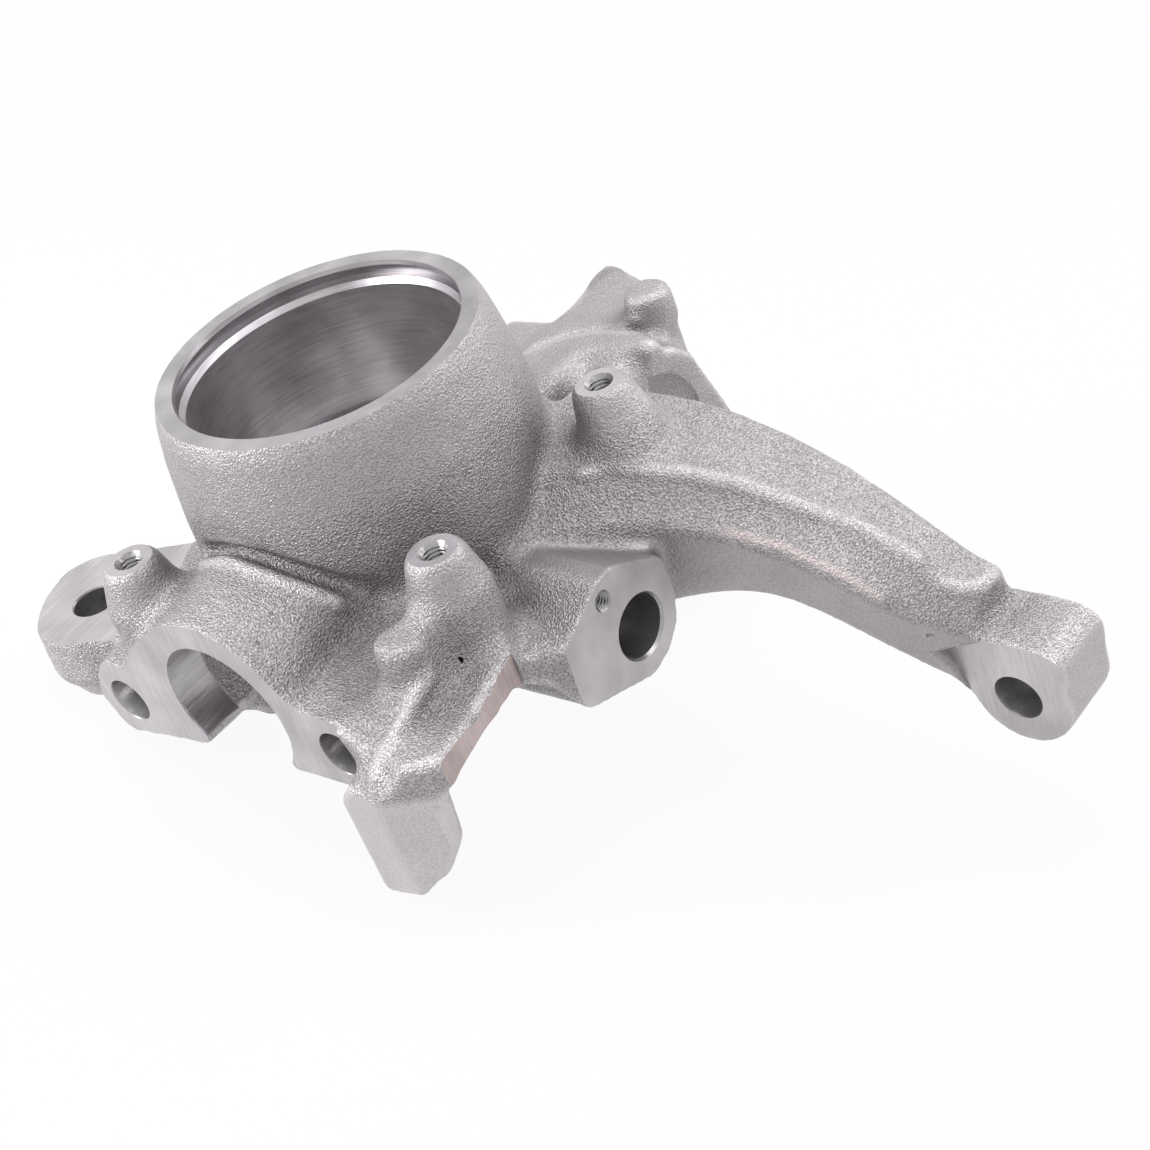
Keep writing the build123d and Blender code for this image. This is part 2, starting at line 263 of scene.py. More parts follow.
def along(axis: Axis, across: tuple[float, float], depth: float) -> tuple[float, float, float]:
    """A point from its two coordinates across an axis and its place along it.

    Args:
        axis: the tool's axis.
        across: (y, z) for X, (x, z) for Y, (x, y) for Z.
        depth: the coordinate along the axis.

    Returns:
        The point in the row frame.
    """
    a, b = across
    if axis is Axis.X:
        return (depth, a, b)
    if axis is Axis.Y:
        return (a, depth, b)
    return (a, b, depth)


def rim_point(centre: tuple[float, float], radius: float, i: int, sides: int) -> tuple[float, float]:
    """Corner i of a regular outline round a centre."""
    angle = 2 * math.pi * i / sides
    return (centre[0] + radius * math.cos(angle), centre[1] + radius * math.sin(angle))


def bar_faces(rows: int, sides: int) -> list[tuple[int, ...]]:
    """The faces of a round bar: rows of four-sided ones, then its two ends."""
    faces = []
    for row in range(rows):
        a, b = row * sides, (row + 1) * sides
        for i in range(sides):
            j = (i + 1) % sides
            faces.append((a + i, a + j, b + j, b + i))
    faces.append(tuple(range(sides)))
    faces.append(tuple(range(rows * sides, (rows + 1) * sides)))
    return faces


def lathe(
    name: str,
    axis: Axis,
    centre: tuple[float, float],
    profile: list[tuple[float, float]],
    sides: int = 64,
) -> Cutter:
    """A turned cutter.

    Args:
        name: what it makes.
        axis: its axis.
        centre: the axis's place across.
        profile: (radius, place along the axis), from one end to the other.
        sides: facets round it.

    Returns:
        The closed tool.
    """
    points = []
    for radius, depth in profile:
        for i in range(sides):
            points.append(along(axis, rim_point(centre, radius, i, sides), depth))
    return Cutter(name, points, bar_faces(len(profile) - 1, sides))


def thread_tap(
    name: str,
    axis: Axis,
    centre: tuple[float, float],
    radii: tuple[float, float],
    span: tuple[float, float],
    pitch: float,
    sides: int = 40,
) -> Cutter:
    """A tap: a bar with a helical thread.

    Args:
        name: what it makes.
        axis: its axis.
        centre: the axis's place across.
        radii: the thread's smallest and largest radius.
        span: where it starts and ends along the axis.
        pitch: rise of one turn.
        sides: facets round it.

    Returns:
        The closed tool.
    """
    rows = int(abs(span[1] - span[0]) / pitch * 4)
    points = []
    for row in range(rows + 1):
        depth = span[0] + (span[1] - span[0]) * row / rows
        for i in range(sides):
            turn = (depth / pitch + i / sides) % 1.0
            radius = radii[0] + (radii[1] - radii[0]) * (1 - abs(2 * turn - 1))
            points.append(along(axis, rim_point(centre, radius, i, sides), depth))
    return Cutter(name, points, bar_faces(rows, sides))


def slab(name: str, axis: Axis, outline: list[tuple[float, float]], span: tuple[float, float]) -> Cutter:
    """A face mill's work: an outline swept along an axis.

    Args:
        name: what it makes.
        axis: direction of the sweep.
        outline: corners across the axis.
        span: start and end along the axis.

    Returns:
        The closed tool.
    """
    n = len(outline)
    points = [along(axis, spot, depth) for depth in span for spot in outline]
    faces = [tuple(range(n)), tuple(range(n, 2 * n))]
    faces += [(i, (i + 1) % n, n + (i + 1) % n, n + i) for i in range(n)]
    return Cutter(name, points, faces)


def disc_outline(centre: tuple[float, float], radius: float, sides: int = 48) -> list[tuple[float, float]]:
    """Corners round a circle."""
    return [rim_point(centre, radius, i, sides) for i in range(sides)]


def sensor_shelf(points: np.ndarray) -> np.ndarray:
    """1 on the shelf between the arm and the sensor block, 0 away from it."""
    x, y, z = points[:, 0], points[:, 1], points[:, 2]
    back = np.interp(x, (50, 64, 90), (-4, 5, 20)) - y
    inside = smooth_step(x, 52.0, 58.0) * smooth_step(y, -11.0, -7.0)
    return inside * smooth_step(-z, 28.5, 29.5) * smooth_step(back, 0.0, 2.0)


def stop_skin(points: np.ndarray) -> np.ndarray:
    """1 on the steering stop, 0 away from it."""
    x, y, z = points[:, 0], points[:, 1], points[:, 2]
    return smooth_step(x, 42.0, 46.0) * smooth_step(-y, 74.0, 77.5) * smooth_step(-z, 44.0, 47.0)


def painted_light_spots(points: np.ndarray) -> np.ndarray:
    """Painted light: 1 where the skin is drawn paler to stand for brighter light: the stop, the caliper
    ears' sides and the arm's end.
    """
    x, z = points[:, 0], points[:, 2]
    ear = smooth_step(-x, 58.0, 64.0) * smooth_step(-z, 38.0, 41.0)
    end = smooth_step(x, 174.0, 179.0)
    return np.maximum.reduce([stop_skin(points), 0.8 * ear, 0.7 * end])


def smooth_skin(points: np.ndarray) -> np.ndarray:
    """How smooth the skin is drawn, from place to place.

    Args:
        points: positions in millimetres, one a row.

    Returns:
        0 for rough skin to 1 for smooth.
    """
    x, y, z = points[:, 0], points[:, 1], points[:, 2]
    parting = np.interp(x, (50, 78, 103, 129, 145, 160), (-29.5, -35.5, -43.5, -54.5, -68.5, -82.0))
    arm = smooth_step(x, 74.0, 80.0) * smooth_step(parting - z, 0.0, 1.5) * smooth_step(y, -8.0, 6.0)
    stop = stop_skin(points)
    block = smooth_step(-z, 58.0, 61.0) * smooth_step(x, 50.0, 56.0) * (y < 20)
    shelf = sensor_shelf(points)
    leg = smooth_step(y, 60.0, 70.0) * (x < 60)
    ear = smooth_step(-x, 58.0, 64.0) * smooth_step(-z, 54.0, 56.0)
    neck = smooth_step(z, -1.0, 9.0) * 0.6
    boss = np.zeros(len(points))
    for a, b in SHIELD_BOSSES:
        boss = np.maximum(boss, 1.0 - smooth_step(np.hypot(x - a, y - b), 11.0, 14.0))
    boss = 0.6 * boss * smooth_step(z, -16.0, -11.0)
    return np.maximum.reduce([arm, stop, block, shelf, 0.7 * leg, ear, neck, boss])


@dataclass(frozen=True)
class BossHead:
    """A boss as it leaves the sand: rounded shoulders on a body that widens downwards."""

    x: float
    y: float
    top: float
    radius: float = 7.6
    spread: float = 0.32
    widest: float = 11.8
    shoulder: float = 3.4
    depth: float = 30.0
    lean: tuple[float, float] = (0.0, 0.0)

    def distance(self, x: np.ndarray, y: np.ndarray, z: np.ndarray) -> np.ndarray:
        """How far each point lies outside the boss.

        Args:
            x: coordinates in millimetres.
            y: coordinates in millimetres.
            z: coordinates in millimetres.

        Returns:
            Rough distances, negative inside.
        """
        below = self.top - z
        reach = np.clip(below, 0.0, None)
        across = np.hypot(x - self.x - self.lean[0] * reach, y - self.y - self.lean[1] * reach)
        side = across - np.minimum(self.radius + self.spread * reach, self.widest)
        a = side + self.shoulder
        b = self.shoulder - below
        corner = np.hypot(np.maximum(a, 0.0), np.maximum(b, 0.0)) + np.minimum(np.maximum(a, b), 0.0)
        return np.maximum(corner - self.shoulder, below - self.depth)


@dataclass(frozen=True)
class Run:
    """A ridge, or a groove, that follows a few points."""

    points: tuple[tuple[float, float, float], ...]
    radius: float

    def distance(self, x: np.ndarray, y: np.ndarray, z: np.ndarray) -> np.ndarray:
        """How far each point lies outside the run, negative inside."""
        nearest = None
        for (ax, ay, az), (bx, by, bz) in zip(self.points, self.points[1:]):
            ux, uy, uz = bx - ax, by - ay, bz - az
            share = ((x - ax) * ux + (y - ay) * uy + (z - az) * uz) / (ux * ux + uy * uy + uz * uz)
            share = np.clip(share, 0.0, 1.0)
            dx, dy, dz = x - ax - share * ux, y - ay - share * uy, z - az - share * uz
            away = np.sqrt(dx**2 + dy**2 + dz**2)
            nearest = away if nearest is None else np.minimum(nearest, away)
        return nearest - self.radius


@dataclass(frozen=True)
class Hollow:
    """A soft dip in the skin; a negative depth makes a swell."""

    centre: tuple[float, float, float]
    width: float
    depth: float

    def amount(self, x: np.ndarray, y: np.ndarray, z: np.ndarray) -> np.ndarray:
        """How far the skin moves in at each point."""
        cx, cy, cz = self.centre
        return self.depth * np.exp(-((x - cx) ** 2 + (y - cy) ** 2 + (z - cz) ** 2) / self.width**2)


def blended(one: np.ndarray, two: np.ndarray, width: float) -> np.ndarray:
    """Joins two distance fields with a soft fillet.

    Args:
        one: distances to the first form.
        two: distances to the second form.
        width: how wide the fillet is.

    Returns:
        Distances to both.
    """
    near = np.maximum(width - np.abs(one - two), 0.0) / width
    return np.minimum(one, two) - near * near * width / 4.0


@dataclass
class Casting:
    """The raw casting: the CAD solid with machining stock, fillets, soft edges and grain."""

    step: float = 1.25
    stock: float = 1.6
    fillet: float = 2.8
    edge_radius: float = 1.2
    hollow_reach: float = 7.0
    measured_reach: float = 12.0
    edge_reach: float = 3.5
    crowd_cells: int = 8
    head_blend: float = 3.0
    ridge_blend: float = 2.2
    crease_blend: float = 3.0
    crest_blend: float = 2.0
    boss_plug: tuple[float, float, float] = (5.0, -22.0, -4.5)
    waves: tuple[tuple[float, float], ...] = ((0.15, 13.0), (0.08, 4.6), (0.06, 2.6))
    heads: tuple[BossHead, ...] = (
        BossHead(*SHIELD_BOSSES[0], -2.5, depth=34.0),
        BossHead(*SHIELD_BOSSES[1], -2.5, depth=34.0),
        BossHead(*SHIELD_BOSSES[2], -2.5, depth=30.0, lean=(0.25, -0.08)),
        BossHead(59.5, -56.2, -17.0, radius=7.0, spread=0.12, widest=8.6, shoulder=1.2, depth=14.0),
        BossHead(20.3, 105.5, -23.0, radius=6.9, spread=0.05, widest=7.4, shoulder=2.2, depth=9.0),
    )
    hollows: tuple[Hollow, ...] = (
        Hollow((37.0, -55.0, -25.0), 9.0, 2.4),
        Hollow((46.0, -64.0, -28.5), 8.0, 2.2),
        Hollow((38.0, -44.0, -24.0), 7.0, 1.6),
        Hollow((51.0, -52.5, -27.0), 6.5, 2.2),
        Hollow((60.0, -18.5, -32.5), 7.0, 2.0),
        Hollow((-13.0, 120.0, -34.0), 9.0, -2.8),
        Hollow((76.0, -58.0, -34.0), 8.0, 1.6),
        Hollow((151.5, 57.5, -65.0), 4.5, 2.0),
        Hollow((149.0, 46.0, -87.0), 7.0, -1.6),
    )
    ridges: tuple[Run, ...] = (
        Run(
            (
                (52.0, -9.0, -28.5), (53.4, -2.0, -30.0), (61.3, 7.2, -31.4), (70.0, 13.3, -33.0),
                (79.0, 19.6, -34.4),
                (90.7, 25.4, -38.0), (103.2, 29.6, -42.2), (113.8, 32.2, -45.7),
                (129.6, 34.5, -53.6), (139.0, 36.4, -61.0),
            ),
            1.8,
        ),
        Run(((-7.0, 74.0, -29.6), (1.5, 84.0, -29.6), (11.0, 89.8, -29.6), (25.0, 91.8, -30.4)), 1.9),
        Run(((22.0, 75.5, -41.5), (23.5, 84.0, -40.5)), 10.0),
    )
    crests: tuple[Run, ...] = (
        Run(((66.3, -57.5, -26.9), (66.3, -63.9, -29.6), (66.0, -72.6, -33.6), (64.9, -79.4, -37.9),
            (64.5, -83.0, -40.7)), 2.2),
        Run(
            (
                (-14.6, -53.6, -11.2), (-4.1, -53.8, -7.3), (2.8, -54.2, -6.8), (10.4, -54.3, -7.7),
                (16.5, -53.6, -9.7),
                (24.6, -50.4, -14.6), (29.0, -48.0, -19.0),
            ),
            1.8,
        ),
        Run(
            (
                (62.0, 19.0, -20.6), (68.0, 24.3, -21.6), (86.2, 31.7, -25.0), (101.2, 36.8, -30.2),
                (118.7, 41.2, -38.7),
                (132.3, 46.1, -47.7), (143.0, 48.7, -57.3),
            ),
            1.6,
        ),
        Run(((149.5, 48.6, -63.6), (154.5, 50.4, -66.0), (157.0, 54.5, -67.7), (157.3, 59.0, -68.6)),
            1.4),
    )
    creases: tuple[Run, ...] = (
        Run(
            (
                (-13.8, -50.4, -8.6), (-4.0, -50.7, -5.6), (2.7, -50.9, -5.2), (9.8, -50.6, -6.0),
                (16.0, -49.4, -8.4),
                (24.0, -46.6, -12.6), (30.0, -43.6, -17.0), (36.0, -40.5, -21.0),
            ),
            2.5,
        ),
        Run(((-10.0, 76.0, -30.5), (0.0, 88.0, -30.5), (11.0, 93.5, -30.5), (25.0, 95.5, -31.0),
            (33.0, 95.0, -32.0)), 2.0),
    )
    stock_planes: tuple[tuple[Axis, float, float], ...] = (
        (Axis.Z, 27.0, 1.0),
        (Axis.Z, -38.5, 1.0),
        (Axis.Y, -77.5, -1.0),
        (Axis.X, 86.5, 1.0),
        (Axis.Y, 46.0, -1.0),
        (Axis.Y, 68.0, 1.0),
    )
    plugs: tuple[tuple[Axis, tuple[float, float], float, float, float], ...] = (
        (Axis.Z, (0.0, 0.0), 43.5, -50.0, 28.0),
        (Axis.Y, (-44.7, -48.4), 8.5, -77.0, -50.0),
        (Axis.Y, (44.3, -43.3), 8.5, -77.0, -50.0),
        (Axis.Z, (-79.5, 54.0), 8.5, -60.0, -38.0),
        (Axis.Z, (-79.5, -54.0), 8.5, -60.0, -38.0),
        (Axis.X, (-1.2, -52.5), 10.0, 42.0, 87.0),
        (Axis.X, (-10.7, -35.8), 4.0, 70.0, 87.0),
        (Axis.Y, (166.0, -98.0), 8.0, 46.0, 68.0),
        (Axis.X, (77.0, -59.0), 7.0, -30.0, 33.0),
        (Axis.X, (99.0, -95.0), 7.0, -10.0, 34.0),
    )
    fields: dict[str, CastField] = field(default_factory=dict)

    def with_stock(self, points: np.ndarray) -> np.ndarray:
        """Moves the machined faces outwards, so that a cutter can find them again.

        Args:
            points: the CAD mesh's corners in millimetres.

        Returns:
            The moved corners.
        """
        moved = points.copy()
        for axis, value, side in self.stock_planes:
            on_face = np.abs(points[:, axis.value] - value) < 0.02
            moved[on_face, axis.value] += side * self.stock
        return moved

    def plugged(self, body: CastField) -> CastField:
        """Fills the holes, which are drilled again later.

        Args:
            body: distances to the CAD solid.

        Returns:
            The field of the casting before drilling.
        """
        x, y, z = body.axes()
        values = body.values
        for axis, (a, b), radius, low, high in self.plugs:
            if axis is Axis.X:
                across, run = np.hypot(y - a, z - b), x
            elif axis is Axis.Y:
                across, run = np.hypot(x - a, z - b), y
            else:
                across, run = np.hypot(x - a, y - b), z
            plug = np.maximum(across - radius, np.maximum(low - run, run - high))
            values = np.minimum(values, plug)
        radius, low, high = self.boss_plug
        for a, b in SHIELD_BOSSES:
            plug = np.maximum(np.hypot(x - a, y - b) - radius, np.maximum(low - z, z - high))
            values = np.minimum(values, plug)
        return body.like(values)

    def shaped(self, body: CastField) -> CastField:
        """Adds the cast forms that are softer than the CAD solid's: hollows, boss heads and ridges.

        Args:
            body: the field of the casting before drilling.

        Returns:
            The field with its free forms.
        """
        x, y, z = body.axes()
        values = body.values
        for hollow in self.hollows:
            values = values + hollow.amount(x, y, z)
        for head in self.heads:
            values = blended(values, head.distance(x, y, z), self.head_blend)
        for ridge in self.ridges:
            values = blended(values, ridge.distance(x, y, z), self.ridge_blend)
        return body.like(values)

    def detailed(self, body: CastField) -> CastField:
        """Adds the lines that stay crisp: crests stand proud of the skin and creases go into it."""
        x, y, z = body.axes()
        values = body.values
        for crease in self.creases:
            values = -blended(-values, crease.distance(x, y, z), self.crease_blend)
        for crest in self.crests:
            values = blended(values, crest.distance(x, y, z), self.crest_blend)
        return body.like(values)

    def build(self, source: bpy.types.Object) -> bpy.types.Mesh:
        """Makes the casting's mesh.

        Args:
            source: the CAD node.

        Returns:
            A closed mesh in metres.
        """
        shape = bmesh.new()
        shape.from_mesh(source.data)
        bmesh.ops.remove_doubles(shape, verts=shape.verts, dist=2e-6)
        bmesh.ops.triangulate(shape, faces=shape.faces)
        points = np.array([v.co for v in shape.verts]) / MM
        triangles = np.array([[v.index for v in f.verts] for f in shape.faces])
        shape.free()
        points = self.with_stock(points)
        no_quads = np.zeros((0, 4), np.uint32)
        margin = self.hollow_reach + 4.0
        start = CastField(points.min(0) - margin, points.max(0) + margin, self.step)
        solid = start.measured(points, triangles, no_quads, self.measured_reach)
        body = self.shaped(self.plugged(solid))
        soft = self.detailed(body.filleted(self.fillet).rounded(self.edge_radius))
        # These fields feed the painted shade in hollows and crowded places and the painted highlight on
        # edges.
        self.fields = {
            "closed": soft.filleted(self.hollow_reach),
            "opened": soft.rounded(self.edge_reach),
            "crowd_shade": soft.crowding(self.crowd_cells),
        }
        corners, tris, quads = soft.surface()
        return self.grained(corners.astype(float), tris, quads)

    def grained(self, corners: np.ndarray, tris: np.ndarray, quads: np.ndarray) -> bpy.types.Mesh:
        """Gives the skin the sand's relief and turns it into a mesh.

        Args:
            corners: the skin's points in millimetres.
            tris: its triangles.
            quads: its quads.

        Returns:
            The mesh in metres.
        """
        faces = [tuple(int(v) for v in f[::-1]) for group in (quads, tris) for f in group]
        mesh = bpy.data.meshes.new(NODE + "_skin")
        mesh.from_pydata((corners * MM).tolist(), [], faces)
        shape = bmesh.new()
        shape.from_mesh(mesh)
        bmesh.ops.recalc_face_normals(shape, faces=shape.faces)
        shape.normal_update()
        normals = np.array([v.normal for v in shape.verts])
        rough = 1.0 - 0.75 * smooth_skin(corners)
        broad, middle, fine = (
            height * lattice_noise(corners, wavelength, seed)
            for seed, (height, wavelength) in enumerate(self.waves, 1)
        )
        relief = broad + rough * (middle + fine)
        moved = corners + normals * relief[:, None]
        for vert, spot in zip(shape.verts, moved * MM):
            vert.co = spot
        shape.to_mesh(mesh)
        shape.free()
        return mesh


@dataclass
class Machining:
    """The cutters that turn, mill and drill the casting, and the surfaces that they leave."""

    boss_angles: tuple[float, ...] = (-114.3, -30.8, 31.7)
    boss_circle: float = 71.8
    crowd_height: float = 8.0
    flange_outline: tuple[tuple[float, float], ...] = (
        (-62.0, -64.0), (-62.0, -28.0), (-28.0, -20.0), (-20.0, -4.0), (25.0, -4.0), (33.0, -24.0),
        (47.0, -26.5), (53.2, -43.6), (46.3, -52.0), (46.3, -64.0),
    )

    hole_walls: tuple[tuple[Axis, tuple[float, float], float, float, float], ...] = (
        (Axis.Y, (-44.7, -48.4), 8.0, -77.6, -50.0),
        (Axis.Y, (44.3, -43.3), 8.0, -77.6, -50.0),
        (Axis.Z, (-79.5, 54.0), 8.0, -64.0, -38.4),
        (Axis.Z, (-79.5, -54.0), 8.0, -64.0, -38.4),
        (Axis.X, (-1.2, -52.5), 10.5, 40.0, 86.6),
        (Axis.X, (-10.7, -35.8), 4.0, 72.0, 86.6),
        (Axis.Y, (166.0, -98.0), 7.9, 45.9, 68.1),
        (Axis.X, (77.0, -59.0), 6.2, -36.0, 33.1),
        (Axis.X, (99.0, -95.0), 6.2, -16.0, 35.0),
    )
    flash: Run = Run(
        ((69.7, 12.2, -31.7), (78.6, 18.6, -33.2), (90.3, 24.5, -36.8), (102.9, 28.7, -41.0),
        (113.4, 31.3, -44.4),
         (129.1, 33.5, -52.4), (138.5, 35.3, -60.1)),
        1.3,
    )

    # Soft spots of painted shade: darker skin where shadow falls or dark parts are reflected.
    painted_shade_spots: tuple[Hollow, ...] = (
        Hollow((36.0, -54.0, -22.0), 9.0, 1.0), Hollow((46.0, -63.0, -28.5), 10.0, 1.0),
            Hollow((55.0, -69.0, -31.0), 7.0, 0.6),
        Hollow((74.0, -61.0, -34.0), 9.0, 0.8), Hollow((-13.0, 120.0, -33.0), 10.0, 1.0),
            Hollow((14.0, 100.0, -31.0), 6.0, 1.0),
        Hollow((56.0, -14.0, -31.0), 8.0, 0.9), Hollow((63.0, -21.0, -33.0), 8.0, 0.9),
    )

    def painted_shade(self, spots: np.ndarray) -> np.ndarray:
        """How much painted shade darkens the skin, in soft spots, from 0 to 1.

        Args:
            spots: positions in millimetres, one a row.

        Returns:
            One value a position.
        """
        amounts = [patch.amount(spots[:, 0], spots[:, 1], spots[:, 2]) for patch in self.painted_shade_spots]
        return np.maximum.reduce(amounts)

    def boss_spots(self) -> list[tuple[float, float]]:
        """Where the dust shield's bosses stand."""
        return [
            (self.boss_circle * math.cos(math.radians(a)), self.boss_circle * math.sin(math.radians(a)))
            for a in self.boss_angles
        ]

    def face_cutters(self) -> list[Cutter]:
        """The cutters of the flat faces."""
        faces = [
            slab("rim_mill", Axis.Z, disc_outline((0, 0), 57.0, 64), (27.0, 31.0)),
            slab("flange_mill", Axis.Y, list(self.flange_outline), (-77.5, -84.0)),
            slab("sensor_mill", Axis.X, [(-33, -28), (-33, -72), (17.5, -72), (17.5, -28)], (86.5, 90.0)),
            slab(
                "eye_mill",
                Axis.Y,
                [(158.5, -75.0), (158.5, -79.4), (152.0, -80.9), (145.1, -82.6), (148.3, -89.0),
                    (149.7, -96.0),
                 (152.0, -102.5), (153.0, -118.0), (190.0, -118.0), (190.0, -75.0)],
                (30.0, 46.0),
            ),
            slab("web_grinder", Axis.Z, [(83.5, -77.6), (77.6, -38.6), (80.0, -38.6),
                (88.0, -77.6)], (-50.0, -33.0)),
            slab("eye_back_mill", Axis.Y, [(156, -74), (156, -118), (190, -118),
                (190, -74)], (68.0, 74.0)),
        ]
        for side in (-1, 1):
            outline = [(-106, side * 28), (-66, side * 22), (-57, side * 40), (-57, side * 77),
                (-106, side * 77)]
            faces.append(slab("ear_mill", Axis.Z, outline, (-38.5, -34.0)))
        for spot in self.boss_spots():
            faces.append(slab("boss_mill", Axis.Z, disc_outline(spot, 9.2, 32), (-3.0, 2.0)))
        return faces

    def bore_cutter(self) -> Cutter:
        """The bearing bore, with its lead-in, ring groove, ledge, seat and shoulder."""
        profile = [
            (43.4, 28.4), (42.1, 27.0), (41.7, 25.7), (44.2, 25.6), (44.2, 21.4), (42.4, 21.3),
            (41.0, 19.7),
            (41.0, -19.7), (36.5, -19.75), (36.5, -29.7), (46.5, -35.7), (48.5, -122.0),
        ]
        return lathe("bore_tool", Axis.Z, (0, 0), profile, 192)

    def recess_cutters(self) -> list[Cutter]:
        """The ball joint's stepped recess and its way out."""
        centre = (2.5, -39.9)
        profile = [(22.6, -78.6), (22.0, -77.0), (22.0, -64.5), (21.2, -64.3), (21.2, -57.5),
            (18.5, -57.3), (18.5, -44.0)]
        way_out = [(-14.0, -39.9), (-14.0, -84.0), (19.0, -84.0), (19.0, -39.9)]
        return [
            lathe("recess_tool", Axis.Y, centre, profile, 96),
            slab("recess_mouth", Axis.Y, way_out, (-78.4, -44.5)),
        ]

    def hole_cutters(self) -> list[Cutter]:
        """Drills and taps, all clear of each other."""
        tools = []
        for centre in ((-44.7, -48.4), (44.3, -43.3)):
            tools.append(lathe("flange_drill", Axis.Y, centre, [(7.8, -78.3), (7.0, -77.0),
                (7.0, -50.0)]))
        for side in (-1, 1):
            centre = (-79.5, side * 54.0)
            tools.append(lathe("ear_drill", Axis.Z, centre, [(7.9, -37.7), (7.0, -39.0), (7.0, -66.0)]))
        tools.append(
            lathe("sensor_drill", Axis.X, (-1.2, -52.5), [(10.4, 87.5), (9.0, 85.6), (9.0, 40.0)], 80)
        )
        tools.append(lathe("eye_drill", Axis.Y, (166.0, -98.0), [(7.7, 45.3), (7.0, 46.5), (7.0, 69.0)]))
        tools.append(thread_tap("sensor_tap", Axis.X, (-10.7, -35.8), (2.45, 3.05), (87.0, 72.5), 1.0))
        for spot in self.boss_spots():
            tools.append(thread_tap("shield_tap", Axis.Z, spot, (3.0, 3.6), (-3.6, -19.0), 1.25, 48))
        return tools

    def mouth_cutters(self) -> list[Cutter]:
        """Countersinks of the tapped holes and the strut's spot face and holes."""
        tools = [lathe("sensor_sink", Axis.X, (-10.7, -35.8), [(3.8, 87.3), (2.6, 85.9)], 40)]
        for spot in self.boss_spots():
            tools.append(lathe("shield_sink", Axis.Z, spot, [(5.0, -2.2), (3.1, -4.2)], 40))
        tools.append(lathe("strut_drill", Axis.X, (77.0, -59.0), [(22.0, 35.4), (22.0, 33.0),
            (6.1, 32.9), (6.1, -44.0)], 96))
        for a, b, top in ((77.5, -65.1, -33.4), (73.6, -60.4, -32.8), (21.7, -71.2, -14.8),
            (20.3, -62.5, -12.1)):
            tools.append(lathe("sand_pit", Axis.Z, (a, b), [(0.9, top + 4.0), (0.8, top),
                (0.4, top - 1.4)], 12))
        tools.append(lathe("sand_pit", Axis.Y, (68.0, -29.8), [(1.3, -48.0), (1.1, -43.8),
            (0.5, -42.0)], 12))
        tools.append(lathe("sand_pit", Axis.Y, (147.3, -75.6), [(1.2, 36.0), (1.0, 40.0),
            (0.5, 41.6)], 12))
        tools.append(lathe("strut_drill_high", Axis.X, (99.0, -95.0), [(6.1, 42.0), (6.1, -30.0)], 48))
        return tools

    def joined(self, name: str, cutters: list[Cutter]) -> bpy.types.Object:
        """Several cutters that don't touch, as one object.

        Args:
            name: the object's name.
            cutters: the tools.

        Returns:
            The joined object.
        """
        shape = bmesh.new()
        for cutter in cutters:
            mesh = cutter.mesh()
            shape.from_mesh(mesh)
            bpy.data.meshes.remove(mesh)
        mesh = bpy.data.meshes.new(name)
        shape.to_mesh(mesh)
        shape.free()
        tool = bpy.data.objects.new(name, mesh)
        bpy.context.scene.collection.objects.link(tool)
        return tool

    def cut(self, piece: bpy.types.Object, cutters: list[Cutter]) -> None:
        """Takes the cutters out of the piece.

        Args:
            piece: the casting.
            cutters: tools that don't touch one another.
        """
        tool = self.joined("cutter", cutters)
        before = len(piece.data.polygons)
        modifier = piece.modifiers.new("cut", "BOOLEAN")
        modifier.operation = "DIFFERENCE"
        modifier.solver = "MANIFOLD"
        modifier.object = tool
        graph = bpy.context.evaluated_depsgraph_get()
        result = bpy.data.meshes.new_from_object(piece.evaluated_get(graph))
        piece.modifiers.clear()
        piece.data = result
        bpy.data.objects.remove(tool)
        triangles = sum(len(face.vertices) - 2 for face in result.polygons)
        after = len(result.polygons)
        LOG.info("cut %d tools: %d faces, then %d (%d triangles)", len(cutters), before, after, triangles)

    def run(self, piece: bpy.types.Object) -> None:
        """Does all the machining in order."""
        self.cut(piece, self.face_cutters())
        self.cut(piece, [self.bore_cutter()])
        for tool in self.recess_cutters():
            self.cut(piece, [tool])
        self.cut(piece, self.hole_cutters())
        self.cut(piece, self.mouth_cutters())

    def shade(self, piece: bpy.types.Object, fields: dict[str, CastField]) -> None:
        """Stores what the finishes read at each point of the skin.

        The marks hold painted shade in hollows, in crowded places and in soft spots, painted light on the
        paler skin and painted highlight on edges, and how smooth or flashed the skin is.

        Args:
            piece: the machined casting.
            fields: the skin with its hollows filled, with its edges taken off, and how crowded it is.
        """
        mesh = piece.data
        spots = vectors(mesh.vertices, "co") / MM
        above = spots + self.crowd_height * vectors(mesh.vertex_normals, "vector")
        away = self.flash.distance(spots[:, 0], spots[:, 1], spots[:, 2])
        # Painted shade: the skin is darker in its hollows and on the shelf by the sensor block.
        hollow = smooth_step(-fields["closed"].sample(spots), 0.25, 3.5)
        marks = {
            "hollow": np.maximum(hollow, sensor_shelf(spots)),
            # Painted light: paler skin on the stop, the caliper ears' sides and the arm's end.
            "painted_light": painted_light_spots(spots),
            # Painted shade in soft spots.
            "patch": self.painted_shade(spots),
            # Painted shade where much metal stands round the skin.
            "crowd_shade": smooth_step(fields["crowd_shade"].sample(above), 0.1, 0.6),
            # Painted highlight on outside edges.
            "edge": smooth_step(fields["opened"].sample(spots), 0.25, 1.1),
            "smooth": smooth_skin(spots),
            "flash": smooth_step(-away, -0.3, 0.3) * smooth_step(spots[:, 0], 92.0, 104.0),
        }
        for name, values in marks.items():
            mark = mesh.attributes.new(name, "FLOAT", "POINT")
            mark.data.foreach_set("value", np.ascontiguousarray(values, np.float32))

